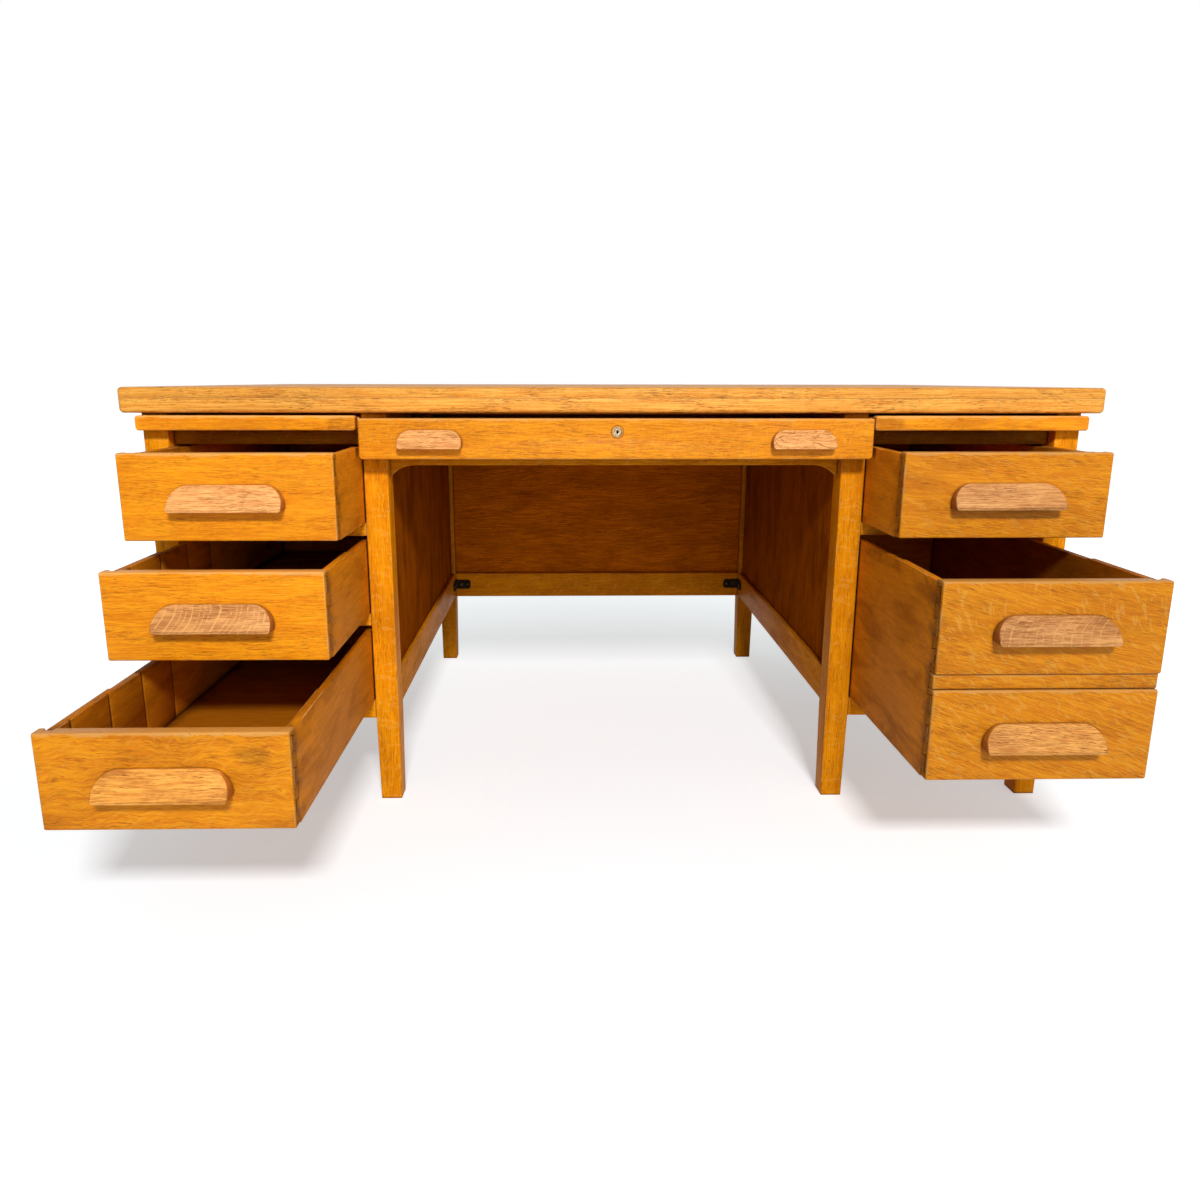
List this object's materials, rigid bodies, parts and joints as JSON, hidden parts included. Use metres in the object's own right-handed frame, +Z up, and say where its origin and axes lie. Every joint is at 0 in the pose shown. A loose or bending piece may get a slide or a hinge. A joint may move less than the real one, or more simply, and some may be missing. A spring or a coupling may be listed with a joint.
{
  "type": "pedestal desk",
  "caption": "Golden oak kneehole desk with drawer pedestals, writing slides, a shallow locking centre drawer, an arched apron, D-shaped pulls and a panelled back.",
  "frame": {"origin": "under the middle of the box that holds the desk with its drawers open as at rest, at floor level", "axes": "+X along the desk's length towards its right-hand pedestal as seen from the sitter's side, -Y towards the sitter, +Z up"},
  "size_m": [1.676, 1.375, 0.762],
  "materials": {
    "top_oak": "satin, clear lacquered golden oak",
    "front_oak": "satin, clear lacquered golden oak",
    "handle_oak": "worn, lacquer rubbed thin",
    "drawer_oak": "matt, aged",
    "panel_oak": "satin, oak faced plywood",
    "frame_oak": "satin, clear lacquered golden oak",
    "black_steel": "black",
    "lock_brass": "dull, worn",
    "lock_steel": "bare"
  },
  "bodies": {
    "carcase": {"apron_rail": "frame_oak", "back_panel_left": "panel_oak", "back_panel_right": "panel_oak", "back_rails": "frame_oak", "bracket_screws": "black_steel", "centre_runners": "frame_oak", "corner_brackets": "black_steel", "drawer_runners_left": "frame_oak", "drawer_runners_right": "frame_oak", "front_rails_left": "frame_oak", "front_rails_right": "frame_oak", "leg_left_inner_back": "frame_oak", "leg_left_inner_front": "front_oak", "leg_left_outer_back": "frame_oak", "leg_left_outer_front": "front_oak", "leg_right_inner_back": "frame_oak", "leg_right_inner_front": "front_oak", "leg_right_outer_back": "frame_oak", "leg_right_outer_front": "front_oak", "modesty_panel": "panel_oak", "modesty_rails": "frame_oak", "side_panel_left_inner": "panel_oak", "side_panel_left_outer": "panel_oak", "side_panel_right_inner": "panel_oak", "side_panel_right_outer": "panel_oak", "side_rails_left": "frame_oak", "side_rails_right": "frame_oak", "top_board": "top_oak", "top_edge_strips": "top_oak"},
    "centre_drawer": {"centre_bottom": "drawer_oak", "centre_box": "drawer_oak", "centre_front": "front_oak", "centre_handles": "handle_oak", "lock_case": "lock_brass"},
    "left_bottom_drawer": {"left_bottom_bottom": "drawer_oak", "left_bottom_box": "drawer_oak", "left_bottom_front": "front_oak", "left_bottom_handle": "handle_oak"},
    "left_middle_drawer": {"left_middle_bottom": "drawer_oak", "left_middle_box": "drawer_oak", "left_middle_front": "front_oak", "left_middle_handle": "handle_oak"},
    "left_top_drawer": {"left_top_bottom": "drawer_oak", "left_top_box": "drawer_oak", "left_top_front": "front_oak", "left_top_handle": "handle_oak"},
    "lock_bolt": {"lock_bolt": "lock_steel"},
    "lock_plug": {"lock_plug": "lock_brass"},
    "right_deep_drawer": {"right_deep_bottom": "drawer_oak", "right_deep_box": "drawer_oak", "right_deep_front": "front_oak", "right_deep_handle": "handle_oak"},
    "right_top_drawer": {"right_top_bottom": "drawer_oak", "right_top_box": "drawer_oak", "right_top_front": "front_oak", "right_top_handle": "handle_oak"},
    "writing_slide_left": {"writing_slide_left": "front_oak"},
    "writing_slide_right": {"writing_slide_right": "front_oak"}
  },
  "joints": [
    {"name": "left_top_drawer_slide", "type": "slide", "parent": "carcase", "child": "left_top_drawer", "axis": [0, -1, 0], "range_m": [-0.183, 0.397]},
    {"name": "left_middle_drawer_slide", "type": "slide", "parent": "carcase", "child": "left_middle_drawer", "axis": [0, -1, 0], "range_m": [-0.266, 0.314]},
    {"name": "left_bottom_drawer_slide", "type": "slide", "parent": "carcase", "child": "left_bottom_drawer", "axis": [0, -1, 0], "range_m": [-0.46, 0.12]},
    {"name": "right_top_drawer_slide", "type": "slide", "parent": "carcase", "child": "right_top_drawer", "axis": [0, -1, 0], "range_m": [-0.17, 0.41]},
    {"name": "right_deep_drawer_slide", "type": "slide", "parent": "carcase", "child": "right_deep_drawer", "axis": [0, -1, 0], "range_m": [-0.338, 0.242]},
    {"name": "centre_drawer_slide", "type": "slide", "parent": "carcase", "child": "centre_drawer", "axis": [0, -1, 0], "range_m": [-0.024, 0.316]},
    {"name": "writing_slide_left_slide", "type": "slide", "parent": "carcase", "child": "writing_slide_left", "axis": [0, -1, 0], "range_m": [-0.006, 0.374]},
    {"name": "writing_slide_right_slide", "type": "slide", "parent": "carcase", "child": "writing_slide_right", "axis": [0, -1, 0], "range_m": [-0.006, 0.374]},
    {"name": "lock_plug_turn", "type": "hinge", "parent": "centre_drawer", "child": "lock_plug", "pos_m": [0, -0.2485, 0.689], "axis": [0, -1, 0], "range_deg": [0, 90]},
    {"name": "lock_bolt_rise", "type": "slide", "parent": "centre_drawer", "child": "lock_bolt", "axis": [0, 0, 1], "range_m": [0, 0.012]}
  ],
  "couplings": [
    {"joint": "lock_bolt_rise", "follows": "lock_plug_turn", "m_per_rad": 0.0076}
  ]
}
